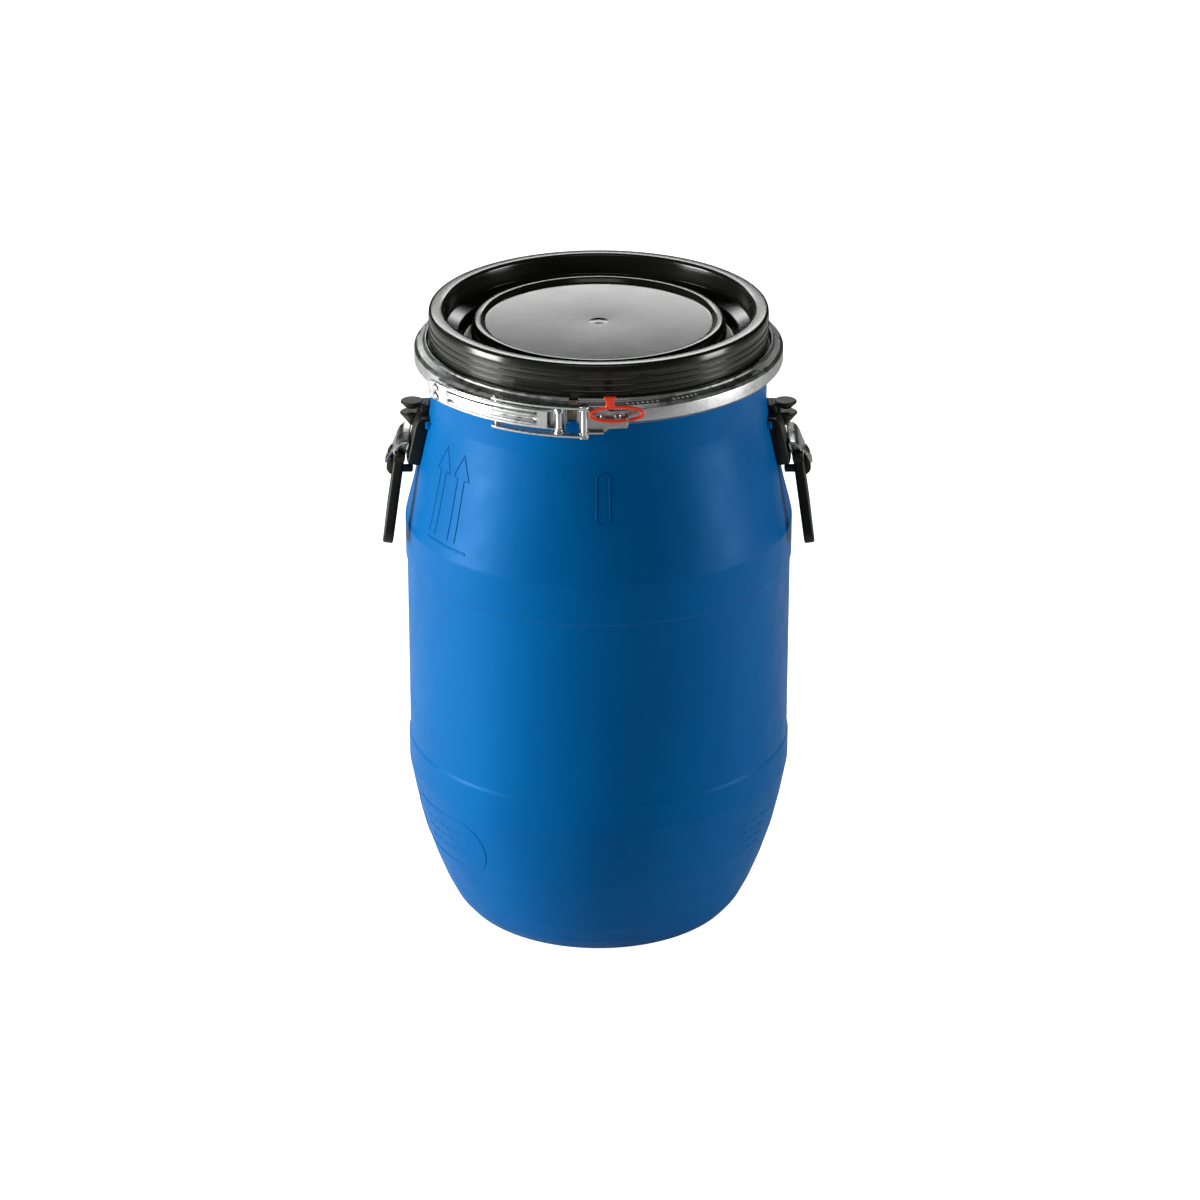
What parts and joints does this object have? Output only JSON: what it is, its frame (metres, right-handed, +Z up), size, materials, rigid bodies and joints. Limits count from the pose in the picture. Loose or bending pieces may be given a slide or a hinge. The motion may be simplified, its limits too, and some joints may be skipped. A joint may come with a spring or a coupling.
{
  "type": "open head drum",
  "caption": "Blue plastic open head drum with a black press-in lid, a galvanised lever closure ring with a red tamper seal, and drop bail handles at the sides.",
  "frame": {"origin": "on the floor under the middle of the drum", "axes": "+Z up along the drum axis, -Y toward the closure lever and the seal, +X toward the right-hand handle"},
  "size_m": [0.344, 0.31, 0.516],
  "materials": {
    "hdpe_blue": "satin",
    "plastic_black": "glossy",
    "seal_foam": "matte",
    "galvanised_steel": "satin",
    "plastic_red": "satin"
  },
  "bodies": {
    "drum": {"drum_shell": "hdpe_blue", "handle_base_left": "plastic_black", "handle_bracket_left": "galvanised_steel", "handle_rivets_left": "galvanised_steel", "handle_bumper_left": "plastic_black", "handle_pin_left": "galvanised_steel", "handle_base_right": "plastic_black", "handle_bracket_right": "galvanised_steel", "handle_rivets_right": "galvanised_steel", "handle_bumper_right": "plastic_black", "handle_pin_right": "galvanised_steel"},
    "lid_body": {"lid": "plastic_black", "lid_gasket": "seal_foam"},
    "ring": {"closure_ring": "galvanised_steel", "fulcrum_bracket": "galvanised_steel", "fulcrum_bracket_rivets": "galvanised_steel", "draw_bracket": "galvanised_steel", "draw_bracket_rivets": "galvanised_steel", "gap_tongue": "galvanised_steel", "fulcrum_pin": "galvanised_steel", "seal_tag": "plastic_red"},
    "lever_body": {"lever": "galvanised_steel"},
    "link": {"link_straps": "galvanised_steel", "link_pin": "galvanised_steel", "draw_pin": "galvanised_steel"},
    "bail_left_body": {"bail_left": "plastic_black"},
    "bail_right_body": {"bail_right": "plastic_black"}
  },
  "joints": [
    {"name": "lid_lift", "type": "slide", "parent": "drum", "child": "lid_body", "axis": [0, 0, 1], "range_m": [0, 0.1]},
    {"name": "ring_lift", "type": "slide", "parent": "drum", "child": "ring", "axis": [0, 0, 1], "range_m": [0, 0.17], "deforming": ["closure_ring"]},
    {"name": "lever_hinge", "type": "hinge", "parent": "ring", "child": "lever_body", "pos_m": [-0.0301, -0.14797, 0.477], "axis": [0, 0, 1], "range_deg": [0, 150]},
    {"name": "link_hinge", "type": "hinge", "parent": "lever_body", "child": "link", "pos_m": [-0.07754, -0.12653, 0.477], "axis": [0, 0, 1], "range_deg": [-150, 0]},
    {"name": "bail_left_hinge", "type": "hinge", "parent": "drum", "child": "bail_left_body", "pos_m": [-0.158, 0, 0.3955], "axis": [0, 1, 0], "range_deg": [0, 70]},
    {"name": "bail_right_hinge", "type": "hinge", "parent": "drum", "child": "bail_right_body", "pos_m": [0.158, 0, 0.3955], "axis": [0, -1, 0], "range_deg": [0, 70]}
  ],
  "couplings": [
    {"joint": "link_hinge", "follows": "lever_hinge", "ratio": -1}
  ]
}
